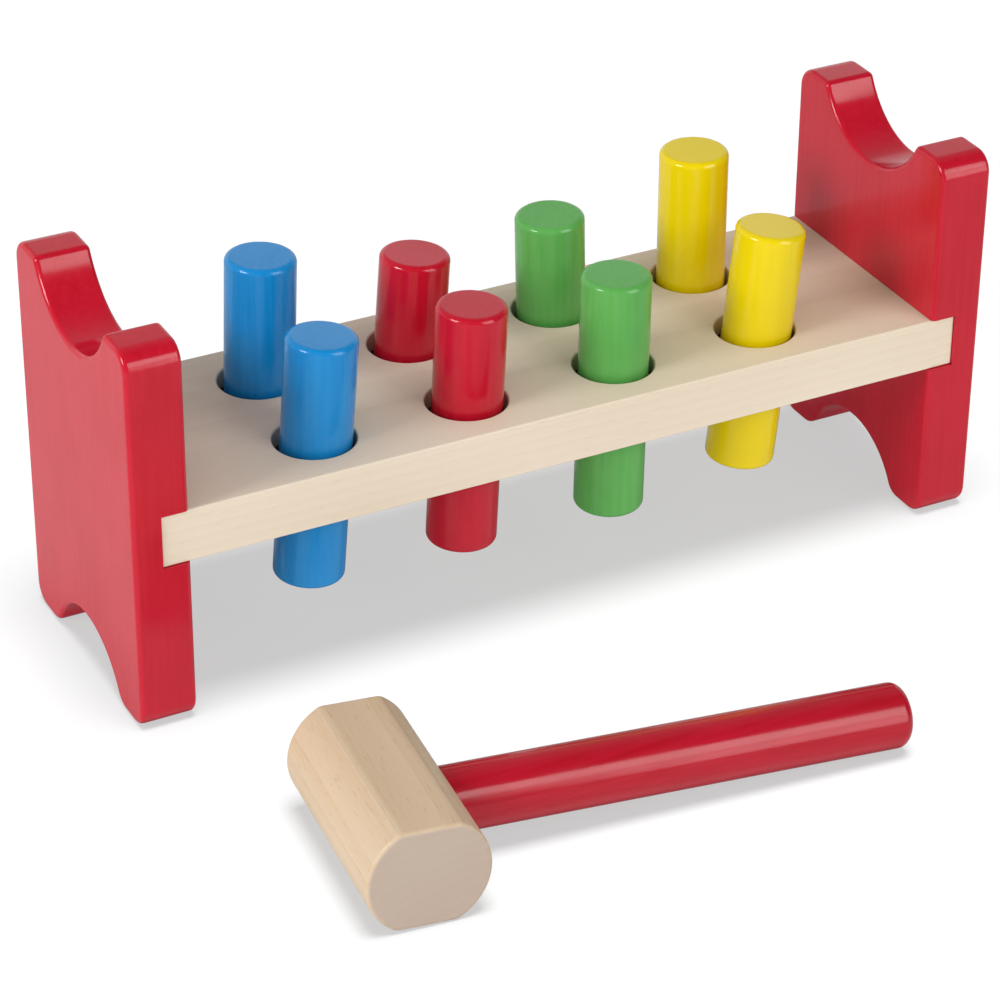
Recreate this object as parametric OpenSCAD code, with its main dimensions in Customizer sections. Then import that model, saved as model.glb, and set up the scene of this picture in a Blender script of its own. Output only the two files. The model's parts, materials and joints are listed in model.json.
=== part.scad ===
// Peg pounding bench: two end panels, a board with loose pegs, and its mallet.
// Millimetres. +X runs along the bench, -Y is its front and +Z is up.
// The origin is on the table, under the middle of the bench.

/* [Bench] */
// Length over both end panels
bench_l = 250; // [220:1:290]
// Depth of the end panels, front to rear
bench_d = 73; // [67:0.5:90]
// Height of the end panels
bench_h = 109; // [100:1:125]

/* [End panels] */
// Thickness of each end panel
panel_t = 15.4; // [14:0.1:20]
// Rounding along every edge of a panel, less than horn_r and foot_r
panel_edge_r = 1.4; // [0.8:0.1:1.7]
// Radius of the four outer corners of a panel
panel_corner_r = 5.8; // [4:0.1:8]
// Width of the flat under each foot
foot_flat = 6; // [3:0.1:8]
// Radius where a foot turns into the arch
foot_r = 5.5; // [4:0.1:10]
// Width of the flat on top of each horn
horn_flat = 7; // [3:0.1:8]
// Radius where a horn turns into the notch
horn_r = 2; // [1.8:0.1:10]
// Depth of the notch at the top and of the arch at the bottom
notch_depth = 14.3; // [11:0.1:17]

/* [Peg board] */
// Thickness of the board
board_t = 15; // [13:0.1:18]
// How far the board's long edges lie inside the panels' edges
board_inset = 0.7; // [0.2:0.1:2]
// Depth of the slot in each panel that takes the end of the board
slot_depth = 7.6; // [6:0.1:9]
// Gap above and below the board in its slot
slot_gap = 0.1; // [0.05:0.05:0.3]
// Chamfer around the mouth of each hole
hole_ease = 0.5; // [0.2:0.1:1]

/* [Pegs] */
// Diameter of a peg
peg_d = 19; // [17:0.1:21]
// Length of a peg
peg_l = 69.5; // [64:0.5:76]
// Rounding at both ends of a peg
peg_end_r = 1.6; // [0.5:0.1:3]
// Room around a peg in its hole
peg_room = 1.5; // [1.3:0.1:2]
// Distance between neighbouring pegs along the board
peg_pitch = 43.8; // [36:0.1:48]
// Distance between the front row and the rear row
row_gap = 34.8; // [32:0.1:37]
// How far the middle of the rows lies off the middle of the bench
row_shift = -0.9; // [-3:0.1:3]
// Sideways lean of the front pegs, blue to yellow, in degrees
front_lean = [4.4, 2.6, 0.8, 5.8]; // [-6:0.1:6]
// Sideways lean of the rear pegs, blue to yellow, in degrees
rear_lean = [2.1, 4.1, -1.6, -0.3]; // [-6:0.1:6]
// Height of the front pegs' middles over the board's middle
front_rise = [2, 0.6, -0.6, 3]; // [-12:0.1:12]
// Height of the rear pegs' middles over the board's middle
rear_rise = [8.8, -0.7, 1.6, 11.1]; // [-12:0.1:12]

/* [Grip rings] */
// Thickness of a ring's round section
ring_t = 4; // [3.2:0.1:4.6]
// Room between a ring and its peg
ring_gap = 0.13; // [0.1:0.01:0.2]
// Room between a ring and its groove
ring_seat = 0.2; // [0.1:0.05:0.4]

/* [Dowels] */
// Diameter of a dowel
dowel_d = 6; // [5:0.5:8]
// Length of a dowel
dowel_l = 20; // [16:0.5:24]
// Part of a dowel's length that sits in its end panel
dowel_in_panel = 5; // [3:0.1:6]
// Distance between the two dowels of one end
dowel_gap = 36; // [28:0.5:44]
// Room for glue around a dowel
dowel_glue = 0.05; // [0.02:0.01:0.1]
// Room for glue past the end of a dowel or of the mallet's handle
glue_room = 0.5; // [0.2:0.1:1]

/* [Mallet] */
// Diameter of the round stock that the head is cut from
head_d = 32; // [30:0.5:38]
// Thickness of the head between its two flats
head_t = 28; // [24:0.1:29]
// Length of the head
head_l = 58; // [50:0.5:66]
// Rounding at the rim of the head's striking faces
head_edge_r = 1.2; // [0.5:0.1:3]
// Diameter of the handle
handle_d = 17; // [14:0.1:19]
// Distance from the middle of the head to the end of the handle
handle_reach = 139; // [120:1:160]
// Rounding at the end of the handle
handle_end_r = 3; // [1:0.1:5]
// Depth of the handle's blind socket in the head
socket_depth = 20; // [14:0.5:26]
// Room for glue around the handle in its socket
socket_glue = 0.05; // [0.02:0.01:0.1]
// Where the middle of the head lies along the bench
mallet_x = -92.6; // [-120:0.1:-20]
// Where the middle of the head lies in front of the bench
mallet_y = -113; // [-180:0.1:-90]
// Turn of the mallet on the table, in degrees
mallet_turn = -5.7; // [-20:0.1:20]

/* [Hidden] */
$fn = 96;
cut = 1;
notch_steps = 8;
fillet_steps = 6;
corner_steps = 6;
edge_steps = 4;
round_steps = 6;

red_paint = "#c4202f";
blue_paint = "#2a86c8";
green_paint = "#5aa84f";
yellow_paint = "#ecd100";
bare_wood = "#e0cba8";
dowel_wood = "#d2b48a";
black_rubber = "#2e2e30";

rows = ["front", "rear"];
colours = ["blue", "red", "green", "yellow"];
paints = [blue_paint, red_paint, green_paint, yellow_paint];
sides = ["left", "right"];
lean = [front_lean, rear_lean];
rise = [front_rise, rear_rise];

function peg_name(row, col) = str(rows[row], "_", colours[col], "_peg");
function ring_name(row, col) = str(rows[row], "_", colours[col], "_grip_ring");
function dowel_name(side, row) = str(sides[side], "_", rows[row], "_dowel");
all_rows = [0 : len(rows) - 1];
all_cols = [0 : len(colours) - 1];
all_sides = [0 : len(sides) - 1];

// The board runs from slot floor to slot floor at half the bench's height
mid_z = bench_h / 2;
board_d = bench_d - 2 * board_inset;
board_l = bench_l - 2 * (panel_t - slot_depth);
panel_x = (bench_l - panel_t) / 2;

// A ring bears on its peg inside and sits in a groove of the hole outside
peg_r = peg_d / 2;
hole_r = peg_r + peg_room;
ring_r = peg_r + ring_gap + ring_t / 2;
groove_r = ring_r + ring_t / 2 + ring_seat;
groove_h = ring_t + 2 * ring_seat;

// The mallet lies on the edge of its lower flat and on the end of its handle
head_r = head_d / 2;
handle_r = handle_d / 2;
flat_half = sqrt(head_r * head_r - head_t * head_t / 4);
lie_run = handle_reach - handle_end_r - flat_half;
lie_drop = head_t / 2 - handle_r + handle_end_r;
lie_slope = atan2(lie_drop, lie_run) - asin(handle_end_r / norm([lie_run, lie_drop]));
mallet_z = flat_half * sin(lie_slope) + head_t / 2 * cos(lie_slope);

function peg_x(col) = row_shift + (col - (len(colours) - 1) / 2) * peg_pitch;
function row_y(row) = (row - (len(rows) - 1) / 2) * row_gap;
function dowel_y(row) = (row - (len(rows) - 1) / 2) * dowel_gap;
function side_sign(side) = side == 0 ? -1 : 1;

// Points of a round corner, turned through 90 degrees from angle start
function round_points(centre, r, start) =
    [for (i = [0 : round_steps]) let (a = start + 90 * i / round_steps) centre + r * [cos(a), sin(a)]];

// A round bar from z = 0 to z = l, with rounded ends
module bar(r, l, low_r, high_r) {
    rotate_extrude()
        polygon(concat(
            [[0, 0]],
            round_points([r - low_r, low_r], low_r, -90),
            round_points([r - high_r, l - high_r], high_r, 0),
            [[0, l]]
        ));
}

// One stretch of the panel's outline: each entry is a point [y, z] and its outward normal
function outline_arc(centre, r, from, to, steps, bulge) =
    [for (i = [0 : steps])
        let (a = from + (to - from) * i / steps, n = [sin(a), cos(a)])
        [centre + bulge * r * n, n]];

// The upper rear quarter of the outline, from the middle of the notch to the rear face.
// The notch is one arc, and the fillet of radius r beside the flat meets it without a kink
function quarter(flat, r) =
    let (
        fillet_y = bench_d / 2 - panel_corner_r - flat,
        arcs_apart = (fillet_y * fillet_y + notch_depth * notch_depth) / (2 * notch_depth),
        notch_r = arcs_apart - r,
        turn = atan2(fillet_y, arcs_apart - notch_depth)
    )
    concat(
        outline_arc([0, bench_h / 2 - notch_depth + notch_r], notch_r, 0, -turn, notch_steps, -1),
        [for (i = [1 : fillet_steps])
            outline_arc([fillet_y, bench_h / 2 - r], r, -turn, 0, fillet_steps, 1)[i]],
        outline_arc([bench_d / 2 - panel_corner_r, bench_h / 2 - panel_corner_r],
            panel_corner_r, 0, 90, corner_steps, 1)
    );

function flipped(points, fy, fz) = [for (p = points) [for (v = p) [v[0] * fy, v[1] * fz]]];
function backwards(points) = [for (i = [len(points) - 1 : -1 : 0]) points[i]];
function without_first(points) = [for (i = [1 : len(points) - 1]) points[i]];
horn = quarter(horn_flat, horn_r);
foot = quarter(foot_flat, foot_r);
outline = concat(
    horn,
    backwards(flipped(foot, 1, -1)),
    without_first(flipped(foot, -1, -1)),
    backwards(without_first(flipped(horn, -1, 1)))
);

// Sections through the panel's thickness: [x, how far the outline is drawn in]
edge_half = [for (i = [0 : edge_steps])
    let (a = 90 * i / edge_steps)
    [panel_t / 2 - panel_edge_r * (1 - cos(a)), panel_edge_r * (1 - sin(a))]];
sections = concat(
    [for (s = edge_half) [-s[0], s[1]]],
    backwards(edge_half)
);

// A whole panel, centred on the origin, with rounded edges and nothing cut into it
module panel_blank() {
    n = len(outline);
    last = len(sections) - 1;
    polyhedron(
        points = [for (s = sections, p = outline)
            [s[0], p[0][0] - s[1] * p[1][0], p[0][1] - s[1] * p[1][1]]],
        faces = concat(
            [[for (i = [n - 1 : -1 : 0]) i]],
            [for (k = [0 : last - 1], i = [0 : n - 1])
                let (j = (i + 1) % n)
                [k * n + i, k * n + j, (k + 1) * n + j, (k + 1) * n + i]],
            [[for (i = [0 : n - 1]) last * n + i]]
        )
    );
}

// The left panel in place, with the slot for the board and blind bores for the dowels
module panel() {
    difference() {
        translate([-panel_x, 0, mid_z])
            panel_blank();
        translate([-board_l / 2, -bench_d / 2 - cut, mid_z - board_t / 2 - slot_gap])
            cube([slot_depth + cut, bench_d + 2 * cut, board_t + 2 * slot_gap]);
        for (row = all_rows)
            translate([-board_l / 2 - dowel_in_panel - glue_room, dowel_y(row), mid_z])
                rotate([0, 90, 0])
                    cylinder(r = dowel_d / 2 + dowel_glue, h = dowel_in_panel + glue_room + cut);
    }
}

module left_end_panel() {
    color(red_paint)
        panel();
}

module right_end_panel() {
    color(red_paint)
        mirror([1, 0, 0])
            panel();
}

// A hole through the board with chamfered mouths, and the ring's groove at half its depth
module hole() {
    translate([0, 0, -board_t / 2 - cut])
        cylinder(r = hole_r, h = board_t + 2 * cut);
    translate([0, 0, -groove_h / 2])
        cylinder(r = groove_r, h = groove_h);
    for (end = [0, 1])
        mirror([0, 0, end])
            translate([0, 0, board_t / 2 - hole_ease])
                cylinder(r1 = hole_r, r2 = hole_r + hole_ease + cut, h = hole_ease + cut);
}

module peg_board() {
    bore_l = dowel_l - dowel_in_panel + glue_room;
    color(bare_wood)
        difference() {
            translate([-board_l / 2, -board_d / 2, mid_z - board_t / 2])
                cube([board_l, board_d, board_t]);
            for (row = all_rows, col = all_cols)
                translate([peg_x(col), row_y(row), mid_z])
                    hole();
            for (side = all_sides, row = all_rows)
                translate([side_sign(side) * board_l / 2, dowel_y(row), mid_z])
                    rotate([0, -90 * side_sign(side), 0])
                        translate([0, 0, -cut])
                            cylinder(r = dowel_d / 2 + dowel_glue, h = bore_l + cut);
        }
}

// A blind dowel that ties the end of the board to its panel
module dowel(side, row) {
    chamfer = glue_room;
    color(dowel_wood)
        translate([side_sign(side) * (board_l / 2 + dowel_in_panel), dowel_y(row), mid_z])
            rotate([0, -90 * side_sign(side), 0])
                bar(dowel_d / 2, dowel_l, chamfer, chamfer);
}

// A rubber ring that holds its peg by friction
module grip_ring(row, col) {
    color(black_rubber)
        translate([peg_x(col), row_y(row), mid_z])
            rotate_extrude()
                translate([ring_r, 0])
                    circle(r = ring_t / 2);
}

// A peg slides along its own leaning axis, which crosses the middle of its hole
module peg(row, col) {
    color(paints[col])
        translate([peg_x(col), row_y(row), mid_z])
            rotate([0, lean[row][col], 0])
                translate([0, 0, rise[row][col] - peg_l / 2])
                    bar(peg_r, peg_l, peg_end_r, peg_end_r);
}

// Puts the mallet on the table: its handle runs along +X before it is turned
module lay_mallet() {
    translate([mallet_x, mallet_y, mallet_z])
        rotate([0, lie_slope, mallet_turn])
            children();
}

module mallet_head() {
    color(bare_wood)
        lay_mallet()
            difference() {
                intersection() {
                    rotate([90, 0, 0])
                        translate([0, 0, -head_l / 2])
                            bar(head_r, head_l, head_edge_r, head_edge_r);
                    cube([head_d + cut, head_l + cut, head_t], center = true);
                }
                translate([head_r - socket_depth, 0, 0])
                    rotate([0, 90, 0])
                        cylinder(r = handle_r + socket_glue, h = socket_depth + cut);
            }
}

module mallet_handle() {
    start = head_r - socket_depth + glue_room;
    color(red_paint)
        lay_mallet()
            translate([start, 0, 0])
                rotate([0, 90, 0])
                    bar(handle_r, handle_reach - start, glue_room, handle_end_r);
}

left_end_panel();
right_end_panel();
peg_board();
for (side = all_sides, row = all_rows)
    dowel(side, row);
for (row = all_rows, col = all_cols)
    grip_ring(row, col);
for (row = all_rows, col = all_cols)
    peg(row, col);
mallet_head();
mallet_handle();
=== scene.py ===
# %% [markdown]
# # A peg pounding bench
# A child's bench has two red end panels, a bare board between them, eight painted pegs that
# stand loosely in holes, and a small mallet. The frame that is loaded first holds every piece
# at its real size, in metres, with +X along the bench, -Y at its front and +Z up. Each step
# below models one kind of piece again with softer edges, gives it a finish and fixes it to the
# body that it moves with.

# %% Load the frame
import json
import math

import bmesh
import bpy
from mathutils import Matrix, Vector


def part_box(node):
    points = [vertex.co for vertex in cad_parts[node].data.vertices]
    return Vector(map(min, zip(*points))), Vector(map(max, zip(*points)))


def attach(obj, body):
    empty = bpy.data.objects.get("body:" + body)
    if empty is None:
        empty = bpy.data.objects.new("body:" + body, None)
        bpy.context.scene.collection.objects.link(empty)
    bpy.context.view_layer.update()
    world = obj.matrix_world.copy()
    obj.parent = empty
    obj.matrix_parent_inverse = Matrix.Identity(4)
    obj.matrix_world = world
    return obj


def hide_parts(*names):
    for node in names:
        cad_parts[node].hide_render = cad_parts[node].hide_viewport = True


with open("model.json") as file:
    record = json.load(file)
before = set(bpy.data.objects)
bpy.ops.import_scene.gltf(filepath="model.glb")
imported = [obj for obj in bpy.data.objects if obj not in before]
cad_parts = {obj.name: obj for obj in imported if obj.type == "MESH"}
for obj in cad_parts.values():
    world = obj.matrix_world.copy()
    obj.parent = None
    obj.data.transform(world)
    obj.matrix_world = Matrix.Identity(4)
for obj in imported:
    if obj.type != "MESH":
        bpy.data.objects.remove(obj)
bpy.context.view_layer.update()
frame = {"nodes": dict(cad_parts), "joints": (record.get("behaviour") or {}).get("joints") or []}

MM = 0.001

# %% [markdown]
# ## Camera
# The bench is seen from its front left, from above and from far away, so its edges hardly
# converge. The lens and the place of the camera were worked out from the bench's straight
# edges. A camera can be aimed with a Track To constraint, but three plain turns are easier to
# read: look level along +Y, tip down by the pitch, swing right by the yaw, and tilt a little.

# %% Camera
CAMERA_PLACE = Vector((-404.4, -765.5, 537.6)) * MM
CAMERA_YAW = math.radians(27.64)
CAMERA_PITCH = math.radians(31.08)
CAMERA_TILT = math.radians(0.43)
CAMERA_LENS = 132.84
SENSOR_WIDTH = 36

bpy.ops.object.select_all(action="DESELECT")
bpy.ops.object.camera_add()
camera = bpy.context.object
camera.data.sensor_width = SENSOR_WIDTH
camera.data.lens = CAMERA_LENS
camera.matrix_world = (
    Matrix.Translation(CAMERA_PLACE)
    @ Matrix.Rotation(-CAMERA_YAW, 4, "Z")
    @ Matrix.Rotation(math.pi / 2 - CAMERA_PITCH, 4, "X")
    @ Matrix.Rotation(CAMERA_TILT, 4, "Z")
)
bpy.context.scene.camera = camera
bpy.context.scene.view_settings.view_transform = "Standard"
print("camera looks from", [round(c, 3) for c in CAMERA_PLACE], "through", CAMERA_LENS, "mm")

# %% [markdown]
# ## Nodes and colours
# Every finish here is a small graph of shader nodes. It could be wired by hand in the shader
# editor, but a script says more plainly what goes where. One function adds a node: it sets the
# node's options, then fills each input with a plain value or with a link from another node.
# Colours are written as sRGB hex values, as a paint chart gives them, and a second function
# turns them into the linear values that the shaders work with.

# %% Helpers for materials
def add_node(tree, kind, inputs=None, **options):
    node = tree.nodes.new("ShaderNode" + kind)
    for name, value in options.items():
        setattr(node, name, value)
    for name, value in (inputs or {}).items():
        if isinstance(value, bpy.types.NodeSocket):
            tree.links.new(value, node.inputs[name])
        else:
            node.inputs[name].default_value = value
    return node


def linear(hex_colour):
    channels = [int(hex_colour[i:i + 2], 16) / 255 for i in (1, 3, 5)]
    return [c / 12.92 if c <= 0.04045 else ((c + 0.055) / 1.055) ** 2.4 for c in channels] + [1]


def new_material(name):
    material = bpy.data.materials.new(name)
    material.use_nodes = True
    tree = material.node_tree
    tree.nodes.clear()
    shader = add_node(tree, "BsdfPrincipled")
    add_node(tree, "OutputMaterial", {"Surface": shader.outputs["BSDF"]})
    return material, tree, shader


WHITE = linear("#ffffff")
print("middle grey #808080 is", round(linear("#808080")[0], 3), "in linear light")

# %% [markdown]
# ## Floor and backdrop
# A catalogue picture stands on white paper. A sheet that curves up behind the bench would do, but
# a flat, wide one at z = 0 is simpler, because the room around is white too. It is grey and
# brightly lit by a lamp of its own, so that its shadow is even, and it glows. The glow is stronger
# for rays that come straight from the camera, so the open paper shows as white, and weaker for
# rays that bounce off gloss, so the paint mirrors a paper that is not quite as bright.

# %% Floor
FLOOR_SIZE = 6
PAPER_GREY = "#595959"
PAPER_ROUGHNESS = 0.9
PAPER_GLOW = 0.46
PAPER_GLOW_MIRRORED = 0.12
PAPER_GLOW_SEEN = 0.54

bpy.ops.object.select_all(action="DESELECT")
bpy.ops.mesh.primitive_plane_add(size=FLOOR_SIZE)
floor = bpy.context.object
floor.name = "paper_floor"
paper, tree, shader = new_material("White paper")
shader.inputs["Base Color"].default_value = linear(PAPER_GREY)
shader.inputs["Roughness"].default_value = PAPER_ROUGHNESS
shader.inputs["Specular IOR Level"].default_value = 0
shader.inputs["Emission Color"].default_value = WHITE
path = add_node(tree, "LightPath").outputs
straight = add_node(tree, "Math", {0: path["Is Camera Ray"], 1: path["Is Transmission Ray"]},
                    operation="MAXIMUM").outputs[0]
glow = add_node(tree, "Mix", {0: path["Is Glossy Ray"], 2: PAPER_GLOW,
                              3: PAPER_GLOW_MIRRORED}).outputs[0]
glow = add_node(tree, "Mix", {0: straight, 2: glow, 3: PAPER_GLOW_SEEN}).outputs[0]
tree.links.new(glow, shader.inputs["Emission Strength"])
floor.data.materials.append(paper)
print("floor of", FLOOR_SIZE, "m")

# %% [markdown]
# ## Light
# The painted rims show two soft highlights, one from the left and one from the front right, both
# low, and the tops are darker than the fronts. One large lamp overhead would do the opposite, so
# two soft boxes stand low on those sides. The highlight on the handle is sharp above and fades
# below, so a dimmer card hangs under the front box for the paint to mirror, and a bounce sheet
# that the paint doesn't mirror lightens the corner between left and front.

# %% Soft boxes
AIM = Vector((0, -20, 50)) * MM
LAMP_DISTANCE = 1.2
# Each soft box: where it stands round the bench, how high, how wide and tall it is, and its power
SOFT_BOXES = {
    "left_soft_box": (186, 29, 0.4, 0.4, 7.2),
    "front_soft_box": (-62, 33, 0.66, 0.46, 4.2),
    "low_front_card": (-62, 11, 0.66, 0.42, 3.0),
    "left_front_bounce": (222, 20, 1.0, 1.0, 3.4),
}


def direction(azimuth, height):
    """The way towards a place round the bench, from its bearing and its height in degrees."""
    azimuth, height = math.radians(azimuth), math.radians(height)
    return Vector((math.cos(azimuth) * math.cos(height), math.sin(azimuth) * math.cos(height),
                   math.sin(height)))


for name, (azimuth, height, width, tall, power) in SOFT_BOXES.items():
    towards = direction(azimuth, height)
    bpy.ops.object.light_add(type="AREA", location=AIM + towards * LAMP_DISTANCE)
    lamp = bpy.context.object
    lamp.name = name
    lamp.data.shape = "RECTANGLE"
    lamp.data.size = width
    lamp.data.size_y = tall
    lamp.data.energy = power
    lamp.rotation_euler = towards.to_track_quat("Z", "Y").to_euler()
    lamp.visible_glossy = not name.endswith("bounce")
    lamp.visible_diffuse = not name.endswith("card")
    print(name, "at", [round(c, 2) for c in lamp.location])

# %% [markdown]
# ## Lamp over the paper
# The bench's shadow lies almost straight below it and is soft at its rim. The soft boxes can't
# draw it, because they stand low, and a lamp from above would whiten the tops. So a broad sun
# overhead lights the paper alone: light linking ties it to the floor, and the bench still stands
# in its way.

# %% Lamp over the paper
PAPER_LAMP = (270, 84.5)
PAPER_LAMP_POWER = 13
PAPER_LAMP_SPREAD = math.radians(26)

bpy.ops.object.light_add(type="SUN", location=(0, 0, 1))
lamp = bpy.context.object
lamp.name = "paper_lamp"
lamp.data.energy = PAPER_LAMP_POWER
lamp.data.angle = PAPER_LAMP_SPREAD
lamp.rotation_euler = direction(*PAPER_LAMP).to_track_quat("Z", "Y").to_euler()
paper_only = bpy.data.collections.new("paper_only")
paper_only.objects.link(floor)
lamp.light_linking.receiver_collection = paper_only
print("the paper's lamp spreads over", round(math.degrees(PAPER_LAMP_SPREAD)), "degrees")

# %% [markdown]
# ## Room
# The white room around fills in: it is white to the eye, and it lights the bench weakly. Walls
# could be built of planes, but the world's own nodes do it without any mesh. What the paint
# mirrors of the room is told apart by height and side: the tops that look past a low, bright
# backdrop at the rear are paler than those that look over its edge, and the front is dark.

# %% Room
WALL_FILL = 0.56
CEILING_FILL = 0.45
FRONT_SHINE = 0.05
REAR_SHINE = 0.42
BACKDROP_SHINE = 0.95
# Where wall turns to ceiling and front to rear, as parts of the way up and of the way back
WALL_TOP, CEILING_START = 0.1, 0.8
FRONT_END, REAR_START = 0.0, 0.7
# How high the backdrop's soft upper edge starts and ends, as sines of its height in degrees
BACKDROP_EDGE = (math.sin(math.radians(23)), math.sin(math.radians(30)))

room = bpy.data.worlds.new("White room")
bpy.context.scene.world = room
room.use_nodes = True
tree = room.node_tree
tree.nodes.clear()
way = add_node(tree, "TexCoord").outputs["Generated"]
way = add_node(tree, "SeparateXYZ", {"Vector": way}).outputs
fill = add_node(tree, "MapRange", {"Value": way["Z"], "From Min": WALL_TOP,
                                   "From Max": CEILING_START, "To Min": WALL_FILL,
                                   "To Max": CEILING_FILL}).outputs["Result"]
rear = add_node(tree, "MapRange", {"Value": way["Z"], "From Min": BACKDROP_EDGE[0],
                                   "From Max": BACKDROP_EDGE[1], "To Min": BACKDROP_SHINE,
                                   "To Max": REAR_SHINE}).outputs["Result"]
shine = add_node(tree, "MapRange", {"Value": way["Y"], "From Min": FRONT_END,
                                    "From Max": REAR_START, "To Min": FRONT_SHINE,
                                    "To Max": rear}).outputs["Result"]
path = add_node(tree, "LightPath").outputs
lit = add_node(tree, "Mix", {0: path["Is Glossy Ray"], 2: fill, 3: shine}).outputs[0]
shown = add_node(tree, "Math", {0: path["Is Camera Ray"], 1: path["Is Transmission Ray"]},
                 operation="MAXIMUM").outputs[0]
strength = add_node(tree, "Mix", {0: shown, 2: lit, 3: 1.0}).outputs[0]
background = add_node(tree, "Background", {"Color": WHITE, "Strength": strength})
add_node(tree, "OutputWorld", {"Surface": background.outputs["Background"]})
print("the walls light the bench with", WALL_FILL, "and the ceiling with", CEILING_FILL)

# %% [markdown]
# ## Enamel paint
# The panels, pegs and handle are hardwood, sanded, primed and sprayed with toy enamel. The paint
# is glossy, but the grain below still telegraphs through as faint ribs, and the film has the
# fine orange peel of a spray gun. A single colour with gloss would look like plastic. So the
# colour varies by a few per cent with the film's thickness, the roughness wanders, and two bump
# patterns sit on top of each other. The grain runs along one axis of the piece, so its pattern is
# drawn out along that axis.

# %% Enamel
GRAIN_WIDTH = 1.4 * MM
GRAIN_LENGTH = 30 * MM
PEEL_SIZE = 2.2 * MM
FILM_SIZE = 22 * MM
FILM_THIN, FILM_THICK = 0.12, 0.40
ENAMEL_IOR = 1.45
ENAMEL_ROUGHNESS = (0.12, 0.21)
RIB_STRENGTH, RIB_HEIGHT = 0.06, 0.06 * MM
PEEL_STRENGTH, PEEL_HEIGHT = 0.10, 0.05 * MM


def lumps(tree, place, size, detail):
    """Soft noise whose lumps have the given size in metres, one number for each axis."""
    place = add_node(tree, "Mapping", {"Vector": place, "Scale": size}, vector_type="TEXTURE")
    return add_node(tree, "TexNoise", {"Vector": place.outputs["Vector"], "Scale": 1,
                                       "Detail": detail}).outputs["Fac"]


def enamel(name, thick, thin, grain_axis):
    material, tree, shader = new_material(name)
    place = add_node(tree, "TexCoord").outputs["Object"]
    grain_size = [GRAIN_WIDTH] * 3
    grain_size["XYZ".index(grain_axis)] = GRAIN_LENGTH
    film = lumps(tree, place, [FILM_SIZE] * 3, 2)
    grain = lumps(tree, place, grain_size, 3)
    peel = lumps(tree, place, [PEEL_SIZE] * 3, 1)
    depth = add_node(tree, "Math", {0: film, 1: grain}, operation="MULTIPLY")
    depth = add_node(tree, "MapRange", {"Value": depth.outputs["Value"], "From Min": FILM_THIN,
                                        "From Max": FILM_THICK})
    colour = add_node(tree, "Mix", {0: depth.outputs["Result"], 6: linear(thin), 7: linear(thick)},
                      data_type="RGBA")
    tree.links.new(colour.outputs[2], shader.inputs["Base Color"])
    gloss = add_node(tree, "MapRange", {"Value": film, "From Min": 0.3, "From Max": 0.7,
                                        "To Min": ENAMEL_ROUGHNESS[0],
                                        "To Max": ENAMEL_ROUGHNESS[1]})
    tree.links.new(gloss.outputs["Result"], shader.inputs["Roughness"])
    ribs = add_node(tree, "Bump", {"Height": grain, "Strength": RIB_STRENGTH,
                                   "Distance": RIB_HEIGHT})
    orange_peel = add_node(tree, "Bump", {"Height": peel, "Strength": PEEL_STRENGTH,
                                          "Distance": PEEL_HEIGHT,
                                          "Normal": ribs.outputs["Normal"]})
    tree.links.new(orange_peel.outputs["Normal"], shader.inputs["Normal"])
    shader.inputs["IOR"].default_value = ENAMEL_IOR
    print(name, "with grain along", grain_axis)
    return material


red_enamel = enamel("Red enamel on hardwood", "#b60b23", "#c0162d", "Z")
blue_enamel = enamel("Blue enamel on hardwood", "#0a80c4", "#1d89ca", "Z")
green_enamel = enamel("Green enamel on hardwood", "#55a34b", "#60aa55", "Z")
yellow_enamel = enamel("Yellow enamel on hardwood", "#e2c800", "#e6cc06", "Z")
handle_enamel = enamel("Red enamel on the handle", "#ab0b20", "#b5162b", "X")

# %% [markdown]
# ## Grain of bare wood
# The board and the mallet's head are pale, close-grained hardwood, sanded and left bare. Two
# things make the wood's tone: growth rings, which are arcs on an end and long bands on a side, and
# fibres, a fine streak along the grain. A picture of wood could be wrapped round the piece, but
# its seams would show. These are solid patterns, drawn in the space of the piece, so an end and a
# side agree where they meet.

# %% Rings and fibres
RING_GAP = 3.2 * MM
RING_STRETCH = 0.05
# At a scale of 1, the Wave texture's rings are this far apart
WAVE_GAP = 2 * math.pi / 20
RING_SHARE = 0.4
TONE_SIZE = (95 * MM, 30 * MM, 30 * MM)
TONE_PALE, TONE_DARK = 0.38, 0.85


def wood_tone(tree, piece, pith, fibre):
    """How dark the wood is, from 0 to 1, with the tree's pith off to one side of the piece."""
    ring_place = add_node(tree, "Mapping", {"Vector": piece, "Location": pith,
                                            "Scale": (RING_STRETCH, 1, 1)})
    rings = add_node(tree, "TexWave", {"Vector": ring_place.outputs["Vector"],
                                       "Scale": WAVE_GAP / RING_GAP, "Distortion": 4,
                                       "Detail": 2, "Detail Scale": 0.25},
                     wave_type="RINGS", rings_direction="X", wave_profile="SAW").outputs["Fac"]
    broad = lumps(tree, piece, TONE_SIZE, 1)
    grain = add_node(tree, "Math", {0: rings, 1: fibre}, operation="MULTIPLY").outputs["Value"]
    grain = add_node(tree, "Math", {0: grain, 1: RING_SHARE, 2: broad}, operation="MULTIPLY_ADD")
    return add_node(tree, "MapRange", {"Value": grain.outputs["Value"], "From Min": TONE_PALE,
                                       "From Max": TONE_DARK}).outputs["Result"]


print("rings are", RING_GAP / MM, "mm apart")

# %% [markdown]
# ## End grain
# Cut across, the fibres are open tubes that drink light, so the ends of the board and of the
# mallet's head are a shade darker and greyer. The end faces could get a material of their own, but
# its border would be a hard line on the rounded edge. So the one material asks which way a face
# looks, and turns darker where that is along the grain.

# %% End grain
END_STARTS, END_FULL = 0.75, 0.98
END_SHARE = 0.7


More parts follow.
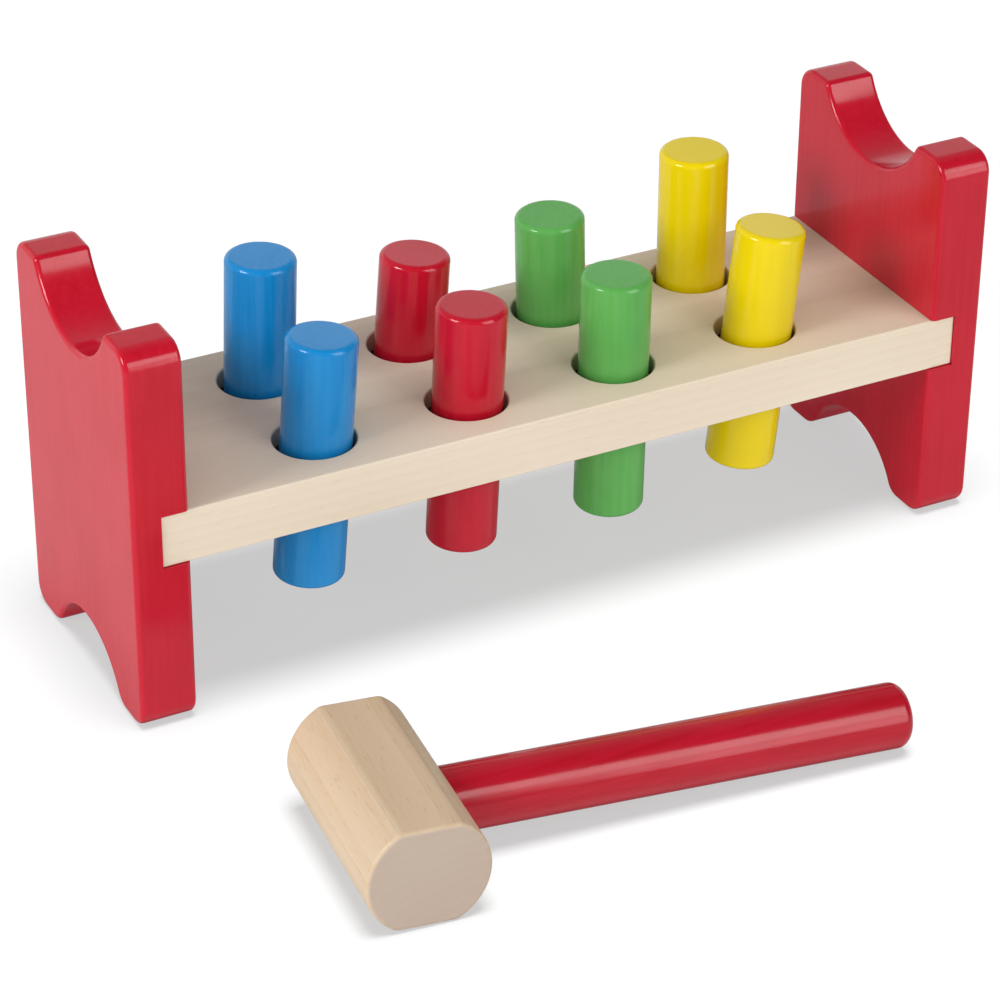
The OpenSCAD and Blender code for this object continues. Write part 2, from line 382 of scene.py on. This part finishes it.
def end_grain(tree, normal, turn):
    """How much of the end's colour a face gets, from how far it looks along the grain."""
    along = Matrix.Rotation(turn[2], 3, "Z") @ Vector((1, 0, 0))
    facing = add_node(tree, "VectorMath", {0: normal, 1: along}, operation="DOT_PRODUCT")
    facing = add_node(tree, "Math", {0: facing.outputs["Value"]}, operation="ABSOLUTE")
    return add_node(tree, "MapRange", {"Value": facing.outputs["Value"], "From Min": END_STARTS,
                                       "From Max": END_FULL,
                                       "To Max": END_SHARE}).outputs["Result"]


print("an end has", END_SHARE, "of its own colour")

# %% [markdown]
# ## Bare wood
# Sanded hardwood is nearly matt, with a dull sheen along its fibres, and has short dark flecks. A
# plain beige would look like card, so the tone, the flecks and the ends each mix in a colour of
# their own, and the fibres also steer the roughness and a very shallow relief.

# %% Bare wood
FIBRE_SIZE = (28 * MM, 0.55 * MM, 0.55 * MM)
FIBRE_STRENGTH, FIBRE_HEIGHT = 0.16, 0.08 * MM
FLECK_SIZE = (4.5 * MM, 0.5 * MM, 0.5 * MM)
FLECK_STARTS, FLECK_FULL = 0.63, 0.76
FLECK_BROWN = "#9a744e"
WOOD_ROUGHNESS = (0.38, 0.54)
WOOD_SHEEN = 0.4


def bare_wood(name, middle, turn, pith, pale, dark, end, flecks):
    """Wood whose grain runs along +X, turned by turn, in the space of a piece at middle."""
    material, tree, shader = new_material(name)
    place = add_node(tree, "TexCoord").outputs
    piece = add_node(tree, "Mapping", {"Vector": place["Object"], "Location": middle,
                                       "Rotation": turn}, vector_type="TEXTURE").outputs["Vector"]
    fibre = lumps(tree, piece, FIBRE_SIZE, 3)
    colour = add_node(tree, "Mix", {0: wood_tone(tree, piece, pith, fibre), 6: linear(pale),
                                    7: linear(dark)}, data_type="RGBA")
    speck = add_node(tree, "MapRange", {"Value": lumps(tree, piece, FLECK_SIZE, 1),
                                        "From Min": FLECK_STARTS, "From Max": FLECK_FULL})
    speck = add_node(tree, "Math", {0: speck.outputs["Result"], 1: flecks}, operation="MULTIPLY")
    colour = add_node(tree, "Mix", {0: speck.outputs["Value"], 6: colour.outputs[2],
                                    7: linear(FLECK_BROWN)}, data_type="RGBA")
    colour = add_node(tree, "Mix", {0: end_grain(tree, place["Normal"], turn),
                                    6: colour.outputs[2], 7: linear(end)}, data_type="RGBA")
    tree.links.new(colour.outputs[2], shader.inputs["Base Color"])
    rough = add_node(tree, "MapRange", {"Value": fibre, "To Min": WOOD_ROUGHNESS[0],
                                        "To Max": WOOD_ROUGHNESS[1]})
    tree.links.new(rough.outputs["Result"], shader.inputs["Roughness"])
    relief = add_node(tree, "Bump", {"Height": fibre, "Strength": FIBRE_STRENGTH,
                                     "Distance": FIBRE_HEIGHT})
    tree.links.new(relief.outputs["Normal"], shader.inputs["Normal"])
    shader.inputs["Specular IOR Level"].default_value = WOOD_SHEEN
    print(name, "with fibres", FIBRE_SIZE[1] / MM, "mm wide")
    return material


board_low, board_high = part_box("peg_board")
board_middle = (board_low + board_high) / 2
board_wood = bare_wood("Sanded hardwood board", board_middle, turn=(0, 0, 0), pith=(0, 0.03, 0.09),
                       pale="#e7d8c3", dark="#dfcfb7", end="#c4b5a5", flecks=0.08)

# %% [markdown]
# ## Ways of working
# Each piece is modelled as one would at the screen: add a primitive, go into edit mode, select
# some edges or faces, and bevel or extrude them. A mesh could be listed point by point instead,
# but the operators keep the steps of the hand. The small helpers below only save repeating the
# same lines: they make one object active, select parts of its mesh by a test, and apply a
# modifier.

# %% Helpers for modelling
def pick(piece):
    bpy.ops.object.select_all(action="DESELECT")
    piece.select_set(True)
    bpy.context.view_layer.objects.active = piece


def edit(piece, elements):
    pick(piece)
    bpy.ops.object.mode_set(mode="EDIT")
    bpy.ops.mesh.select_mode(type=elements)
    bpy.ops.mesh.select_all(action="DESELECT")


def select(piece, elements, test):
    """In edit mode, select the verts, edges or faces that pass the test."""
    mesh = bmesh.from_edit_mesh(piece.data)
    for element in getattr(mesh, elements):
        if test(element):
            element.select_set(True)
    bmesh.update_edit_mesh(piece.data)


def modify(piece, kind, **options):
    pick(piece)
    modifier = piece.modifiers.new(kind, kind)
    for name, value in options.items():
        setattr(modifier, name, value)
    bpy.ops.object.modifier_apply(modifier=modifier.name)


print("four helpers for modelling are ready")

# %% [markdown]
# ## End panels
# An end panel is sawn from a thick board: a round notch between two horns at the top, a like arch
# between two feet below, and every edge run over with a round cutter. The horns turn into their
# notch more sharply than the feet into their arch. The panel could be carved out of a box with
# Booleans, but its outline is all arcs that flow into each other, so its rear half is drawn with
# Spin from one vertex, and mirrored.

# %% Outline of a panel
CORNER_R = 5.8 * MM
CORNER_STEPS = 12
HORN_FLAT = 7 * MM
HORN_R = 2 * MM
HORN_STEPS = 12
FOOT_FLAT = 6 * MM
FOOT_R = 5.5 * MM
FOOT_STEPS = 14
NOTCH_DEPTH = 14.3 * MM
NOTCH_STEPS = 20
MERGE_GAP = 0.01 * MM

panel_low, panel_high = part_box("left_end_panel")
panel_middle = (panel_low + panel_high) / 2
panel_t, panel_d, panel_h = panel_high - panel_low
corner_y, corner_z = panel_d / 2 - CORNER_R, panel_h / 2 - CORNER_R


def notch(flat, fillet_r):
    """Where the fillet beside a flat has its middle, the notch's radius, and how far both turn."""
    fillet_y = corner_y - flat
    arcs_apart = (fillet_y ** 2 + NOTCH_DEPTH ** 2) / (2 * NOTCH_DEPTH)
    return fillet_y, arcs_apart - fillet_r, math.atan2(fillet_y, arcs_apart - NOTCH_DEPTH)


def sweep(y, z, angle, steps):
    """Spin the selected vertex about a point of the panel, by an angle towards the rear."""
    bpy.ops.mesh.spin(steps=steps, angle=-angle, axis=(1, 0, 0),
                      center=panel_middle + Vector((-panel_t / 2, y, z)))


bpy.ops.object.select_all(action="DESELECT")
bpy.ops.mesh.primitive_plane_add(size=MM, location=panel_middle)
left_panel = bpy.context.object
edit(left_panel, "VERT")
bpy.ops.mesh.select_all(action="SELECT")
bpy.ops.mesh.merge(type="CENTER")
bpy.ops.transform.translate(value=(-panel_t / 2, 0, panel_h / 2 - NOTCH_DEPTH))
fillet_y, notch_r, turn = notch(HORN_FLAT, HORN_R)
sweep(0, panel_h / 2 - NOTCH_DEPTH + notch_r, turn, NOTCH_STEPS)
sweep(fillet_y, panel_h / 2 - HORN_R, -turn, HORN_STEPS)
bpy.ops.mesh.extrude_region_move(TRANSFORM_OT_translate={"value": (0, HORN_FLAT, 0)})
sweep(corner_y, corner_z, -math.pi / 2, CORNER_STEPS)
bpy.ops.mesh.extrude_region_move(TRANSFORM_OT_translate={"value": (0, 0, -2 * corner_z)})
sweep(corner_y, -corner_z, -math.pi / 2, CORNER_STEPS)
bpy.ops.mesh.extrude_region_move(TRANSFORM_OT_translate={"value": (0, -FOOT_FLAT, 0)})
fillet_y, arch_r, turn = notch(FOOT_FLAT, FOOT_R)
sweep(fillet_y, FOOT_R - panel_h / 2, -turn, FOOT_STEPS)
sweep(0, NOTCH_DEPTH - arch_r - panel_h / 2, turn, NOTCH_STEPS)
bpy.ops.object.mode_set(mode="OBJECT")
modify(left_panel, "MIRROR", use_axis=(False, True, False), merge_threshold=MERGE_GAP)
print("the outline has", len(left_panel.data.vertices), "points; the notch's radius is",
      round(notch_r / MM, 2), "mm and the arch's", round(arch_r / MM, 2), "mm")

# %% [markdown]
# ## Thickness and round edges of a panel
# The sawn outline is now a closed loop of edges. It is filled with one face and extruded to the
# thickness of the board. A round cutter has run along both rims of the real panel, and a bevel
# does the same here. A Bevel modifier would round every sharp edge, so the operator is used, on
# just the edges that lie in one of the two faces.

# %% Thickness and round edges of a panel
EDGE_R = 1.4 * MM
EDGE_STEPS = 6

edit(left_panel, "EDGE")
bpy.ops.mesh.select_all(action="SELECT")
bpy.ops.mesh.edge_face_add()
bpy.ops.mesh.extrude_region_move(TRANSFORM_OT_translate={"value": (panel_t, 0, 0)})
bpy.ops.mesh.select_all(action="SELECT")
bpy.ops.mesh.normals_make_consistent(inside=False)
bpy.ops.mesh.select_all(action="DESELECT")
select(left_panel, "edges",
       lambda edge: abs(edge.verts[0].co.x - edge.verts[1].co.x) < panel_t / 2)
bpy.ops.mesh.bevel(offset=EDGE_R, segments=EDGE_STEPS, affect="EDGES", clamp_overlap=False)
bpy.ops.object.mode_set(mode="OBJECT")
print("rounded panel:", len(left_panel.data.polygons), "faces")

# %% [markdown]
# ## Cutting, copying and finishing
# A few more steps come back with every piece: a tool is cut out of it with a Boolean and thrown
# away, a copy gets a mesh of its own, and the finished piece is put at rest and handed to the body
# that it moves with. Its place goes into its mesh, so that patterns stay where they are, and its
# faces are shaded smooth up to each crisp edge.

# %% Helpers for cutting and finishing
CRISP_ANGLE = math.radians(32)


def cut_away(piece, tool):
    modify(piece, "BOOLEAN", operation="DIFFERENCE", solver="EXACT", object=tool)


def remove(tool):
    bpy.data.objects.remove(tool, do_unlink=True)


def copy_of(piece, name):
    pick(piece)
    bpy.ops.object.duplicate()
    copy = bpy.context.object
    copy.name = name
    return copy


def settle(piece):
    """Put the object's place into its mesh, and shade its faces smooth up to each crisp edge."""
    pick(piece)
    bpy.ops.object.transform_apply(location=True, rotation=True, scale=True)
    bpy.ops.object.shade_smooth_by_angle(angle=CRISP_ANGLE)
    modify(piece, "WEIGHTED_NORMAL", keep_sharp=True)


def hand_over(piece, node, body, material):
    """Fix a finished piece to its body, in the place of its CAD node."""
    piece.name = node + "_dressed"
    piece.data.materials.clear()
    piece.data.materials.append(material)
    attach(piece, body)
    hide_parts(node)
    print(piece.name, "has", len(piece.data.polygons), "faces and rides on", body)


print("edges over", round(math.degrees(CRISP_ANGLE)), "degrees stay crisp")

# %% [markdown]
# ## Slot and dowel bores
# A slot across the inner face, open at the front and the rear, takes the end of the board, and
# two blind bores in its floor take dowels. On the real bench a saw and a drill make them after
# the edges are rounded, so here too they are cut last, with Booleans. The other panel is the same
# piece turned half round, so it is a copy.

# %% Slot, bores and the second panel
SLOT_GAP = 0.1 * MM
CUT = 2 * MM
DOWEL_D = 6 * MM
DOWEL_L = 20 * MM
GLUE_ROOM = 0.5 * MM
BORE_SIDES = 48
board_size = board_high - board_low


def drill_along_x(piece, middle, radius, depth):
    bpy.ops.object.select_all(action="DESELECT")
    bpy.ops.mesh.primitive_cylinder_add(vertices=BORE_SIDES, radius=radius, depth=depth,
                                        location=middle, rotation=(0, math.pi / 2, 0))
    drill = bpy.context.object
    cut_away(piece, drill)
    remove(drill)


dowel_boxes = {name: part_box(name) for name in frame["nodes"] if name.endswith("_dowel")}
bpy.ops.object.select_all(action="DESELECT")
bpy.ops.mesh.primitive_cube_add(size=1, location=board_middle,
                                scale=(board_size.x, panel_d + CUT, board_size.z + 2 * SLOT_GAP))
saw = bpy.context.object
cut_away(left_panel, saw)
remove(saw)
for name, (low, high) in dowel_boxes.items():
    if name.startswith("left"):
        drill_along_x(left_panel, (low + high) / 2, DOWEL_D / 2, DOWEL_L + GLUE_ROOM)
settle(left_panel)
right_panel = copy_of(left_panel, "right_panel")
right_panel.rotation_euler.z = math.pi
settle(right_panel)
hand_over(left_panel, "left_end_panel", "bench", red_enamel)
hand_over(right_panel, "right_end_panel", "bench", red_enamel)

# %% [markdown]
# ## The hole's drill
# The board is one plank with eight wide holes. Each hole has a sanded mouth above and below and,
# half way down, a groove that holds a rubber ring. Its drill could be three cylinders, one for
# each width, but one closed stack of circles cuts it in a single step: it starts as one filled
# circle, which is extruded upwards step by step and made wider or narrower at each step.

# %% The hole's drill
PEG_D = 19 * MM
PEG_ROOM = 1.5 * MM
MOUTH_R = 0.6 * MM
MOUTH_STEPS = 4
RING_T = 4 * MM
RING_GAP_PEG = 0.13 * MM
RING_SEAT = 0.2 * MM
ROUND_SIDES = 96

hole_r = PEG_D / 2 + PEG_ROOM
groove_r = PEG_D / 2 + RING_GAP_PEG + RING_T + RING_SEAT
groove_half = RING_T / 2 + RING_SEAT
quarter = [math.pi / 2 * i / MOUTH_STEPS for i in range(MOUTH_STEPS + 1)]
upper_half = [(groove_half, groove_r), (groove_half, hole_r)]
upper_half += [(board_size.z / 2 - MOUTH_R * (1 - math.sin(a)),
                hole_r + MOUTH_R * (1 - math.cos(a))) for a in quarter]
upper_half += [(board_size.z / 2 + CUT, hole_r + MOUTH_R)]
profile = [(-z, radius) for z, radius in reversed(upper_half)] + upper_half

bpy.ops.object.select_all(action="DESELECT")
bpy.ops.mesh.primitive_circle_add(vertices=ROUND_SIDES, radius=profile[0][1], fill_type="NGON",
                                  location=(0, 0, profile[0][0]))
drill = bpy.context.object
edit(drill, "FACE")
bpy.ops.mesh.select_all(action="SELECT")
for (z, radius), (next_z, next_radius) in zip(profile, profile[1:]):
    bpy.ops.mesh.extrude_region_move(TRANSFORM_OT_translate={"value": (0, 0, next_z - z)})
    bpy.ops.transform.resize(value=(next_radius / radius, next_radius / radius, 1),
                             center_override=(0, 0, next_z))
bpy.ops.mesh.select_all(action="SELECT")
bpy.ops.mesh.normals_make_consistent(inside=False)
bpy.ops.object.mode_set(mode="OBJECT")
pick(drill)
bpy.ops.object.transform_apply(location=True)
print("the drill has", len(profile), "steps and is", round(2 * hole_r / MM, 2), "mm wide")

# %% [markdown]
# ## Peg board
# The plank is planed square, and sandpaper has just taken off its edges. It is a cube at the
# plank's size, with a small bevel all round. The holes could be modelled into its faces, but then
# the rings of edges round each hole would have to meet across the plank. Moving the one drill from
# hole to hole and cutting leaves the faces between them flat. The dowels' bores in the two ends
# come last.

# %% The drilled board
BOARD_EASE = 0.5 * MM
BOARD_EASE_STEPS = 3

bpy.ops.object.select_all(action="DESELECT")
bpy.ops.mesh.primitive_cube_add(size=1, location=board_middle, scale=board_size)
board = bpy.context.object
bpy.ops.object.transform_apply(location=False, scale=True)
edit(board, "EDGE")
bpy.ops.mesh.select_all(action="SELECT")
bpy.ops.mesh.bevel(offset=BOARD_EASE, segments=BOARD_EASE_STEPS, affect="EDGES")
bpy.ops.object.mode_set(mode="OBJECT")
ring_boxes = {name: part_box(name) for name in frame["nodes"] if name.endswith("_grip_ring")}
for low, high in ring_boxes.values():
    drill.location = (low + high) / 2
    cut_away(board, drill)
remove(drill)
for low, high in dowel_boxes.values():
    drill_along_x(board, (low + high) / 2, DOWEL_D / 2, DOWEL_L + GLUE_ROOM)
settle(board)
hand_over(board, "peg_board", "bench", board_wood)

# %% [markdown]
# ## Pegs
# A peg is a length of dowel with its ends eased, painted all over. Its profile could be spun round
# its axis, but a cylinder whose two rims are bevelled has the same shape in fewer steps. One is
# made, and the others are copies. Each stands where its hole is and leans its own way in the loose
# hole: the joint that it slides on gives the direction.

# %% Pegs
PEG_L = 69.5 * MM
PEG_END_R = 1.6 * MM
PEG_END_STEPS = 6

peg_paint = {"blue": blue_enamel, "red": red_enamel, "green": green_enamel, "yellow": yellow_enamel}
lean = {joint["child"]: Vector(joint["axis"]) for joint in frame["joints"]}

bpy.ops.object.select_all(action="DESELECT")
bpy.ops.mesh.primitive_cylinder_add(vertices=ROUND_SIDES, radius=PEG_D / 2, depth=PEG_L)
pattern_peg = bpy.context.object
edit(pattern_peg, "EDGE")
select(pattern_peg, "edges",
       lambda edge: abs(edge.verts[0].co.z - edge.verts[1].co.z) < PEG_L / 2)
bpy.ops.mesh.bevel(offset=PEG_END_R, segments=PEG_END_STEPS, affect="EDGES")
bpy.ops.object.mode_set(mode="OBJECT")

for row in ("front", "rear"):
    for colour, paint in peg_paint.items():
        node = f"{row}_{colour}_peg"
        low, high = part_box(node)
        peg = copy_of(pattern_peg, node)
        peg.location = (low + high) / 2
        peg.rotation_euler = Vector((0, 0, 1)).rotation_difference(lean[node]).to_euler()
        settle(peg)
        hand_over(peg, node, node, paint)
remove(pattern_peg)

# %% [markdown]
# ## Mallet's place
# The mallet lies on the table in front of the bench. It rests on the edge of the head's lower flat
# and on the end of the handle, so it slopes a little. It could be modelled where it lies, but
# level, with its handle along +X, every step is simpler. One matrix, worked out from its sizes,
# then lays both of its pieces down.

# %% Mallet's place
HEAD_D = 32 * MM
HEAD_T = 28 * MM
HANDLE_D = 17 * MM
HANDLE_REACH = 139 * MM
HANDLE_END_R = 3 * MM
MALLET_TURN = math.radians(-5.7)

head_low, head_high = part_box("mallet_head")
head_middle = (head_low + head_high) / 2
flat_half = math.sqrt(HEAD_D ** 2 - HEAD_T ** 2) / 2
lie_run = HANDLE_REACH - HANDLE_END_R - flat_half
lie_drop = HEAD_T / 2 - HANDLE_D / 2 + HANDLE_END_R
lie_slope = math.atan2(lie_drop, lie_run) - math.asin(HANDLE_END_R / math.hypot(lie_run, lie_drop))
laid = Matrix.Translation(head_middle) @ Matrix.Rotation(MALLET_TURN, 4, "Z")
laid = laid @ Matrix.Rotation(lie_slope, 4, "Y")
print("the mallet slopes by", round(math.degrees(lie_slope), 2), "degrees")

# %% [markdown]
# ## Mallet's head
# The head is a length of round stock with two flats planed on it, eased edges, and a blind hole in
# its side for the handle. The flats could be cut with a Boolean, but Bisect is the plane's own
# stroke: it slices along a plane, clears what is outside and fills the cut. The edges that are
# still sharp then get a bevel, and the socket is drilled last, so that its rim stays crisp.

# %% Mallet's head
HEAD_L = 58 * MM
HEAD_SIDES = 128
HEAD_EASE = 1.2 * MM
HEAD_EASE_STEPS = 5
HEAD_SHARP = math.radians(20)
SOCKET_DEPTH = 20 * MM
SOCKET_ROOM = 0.1 * MM

bpy.ops.object.select_all(action="DESELECT")
bpy.ops.mesh.primitive_cylinder_add(vertices=HEAD_SIDES, radius=HEAD_D / 2, depth=HEAD_L,
                                    rotation=(math.pi / 2, 0, 0))
head = bpy.context.object
bpy.ops.object.transform_apply(rotation=True)
for side in (-1, 1):
    edit(head, "EDGE")
    bpy.ops.mesh.select_all(action="SELECT")
    bpy.ops.mesh.bisect(plane_co=(0, 0, side * HEAD_T / 2), plane_no=(0, 0, side), use_fill=True,
                        clear_outer=True)
    bpy.ops.object.mode_set(mode="OBJECT")
edit(head, "EDGE")
bpy.ops.mesh.edges_select_sharp(sharpness=HEAD_SHARP)
bpy.ops.mesh.bevel(offset=HEAD_EASE, segments=HEAD_EASE_STEPS, affect="EDGES")
bpy.ops.object.mode_set(mode="OBJECT")
drill_along_x(head, (HEAD_D / 2 - SOCKET_DEPTH / 2 + CUT / 2, 0, 0), HANDLE_D / 2 + SOCKET_ROOM,
              SOCKET_DEPTH + CUT)
head.matrix_world = laid
settle(head)
head_wood = bare_wood("Sanded hardwood mallet head", head_middle,
                      turn=(0, 0, MALLET_TURN + math.pi / 2), pith=(0, 0.015, 0.05),
                      pale="#d0b99d", dark="#c5a989", end="#b3a39a", flecks=0.3)
hand_over(head, "mallet_head", "mallet", head_wood)

# %% [markdown]
# ## Mallet's handle
# The handle is a thinner bar, painted red, whose free end is well rounded for a small hand. Its
# other end is glued into the head's socket and keeps its sharp rim, as it comes from the saw. A
# bar with both ends bevelled would leave a gap in the socket, so only the free rim is selected for
# the bevel.

# %% Mallet's handle
HANDLE_END_STEPS = 8

handle_start = HEAD_D / 2 - SOCKET_DEPTH + GLUE_ROOM
handle_l = HANDLE_REACH - handle_start

bpy.ops.object.select_all(action="DESELECT")
bpy.ops.mesh.primitive_cylinder_add(vertices=ROUND_SIDES, radius=HANDLE_D / 2, depth=handle_l,
                                    location=(handle_start + handle_l / 2, 0, 0),
                                    rotation=(0, math.pi / 2, 0))
handle = bpy.context.object
bpy.ops.object.transform_apply(location=True, rotation=True)
edit(handle, "EDGE")
select(handle, "edges", lambda edge: min(v.co.x for v in edge.verts) > HANDLE_REACH - MM)
bpy.ops.mesh.bevel(offset=HANDLE_END_R, segments=HANDLE_END_STEPS, affect="EDGES")
bpy.ops.object.mode_set(mode="OBJECT")
handle.matrix_world = laid
settle(handle)
hand_over(handle, "mallet_handle", "mallet", handle_enamel)

# %% [markdown]
# ## Rings and dowels
# The rubber rings and the dowels are hidden in the wood. They could be modelled again as well, but
# their shapes are right as they are, so they only get their finish: matt black rubber with a
# moulded grain, and bare dowel wood.

# %% Rubber and dowel wood
RUBBER_GRAIN = 0.6 * MM
RUBBER_ROUGHNESS = (0.6, 0.9)

rubber, tree, shader = new_material("Moulded black rubber")
dust = lumps(tree, add_node(tree, "TexCoord").outputs["Object"], [RUBBER_GRAIN] * 3, 2)
bloom = add_node(tree, "Mix", {0: dust, 6: linear("#1c1c1e"), 7: linear("#38383b")},
                 data_type="RGBA")
tree.links.new(bloom.outputs[2], shader.inputs["Base Color"])
matt = add_node(tree, "MapRange", {"Value": dust, "To Min": RUBBER_ROUGHNESS[0],
                                   "To Max": RUBBER_ROUGHNESS[1]})
tree.links.new(matt.outputs["Result"], shader.inputs["Roughness"])
dowel_wood = bare_wood("Dowel wood", board_middle, turn=(0, 0, 0), pith=(0, 0.02, 0.04),
                       pale="#dcc09a", dark="#c7a478", end="#b39a7c", flecks=0.1)
for names, finish in ((ring_boxes, rubber), (dowel_boxes, dowel_wood)):
    for name in names:
        frame["nodes"][name].data.materials.clear()
        frame["nodes"][name].data.materials.append(finish)
print(len(ring_boxes), "rings and", len(dowel_boxes), "dowels dressed")
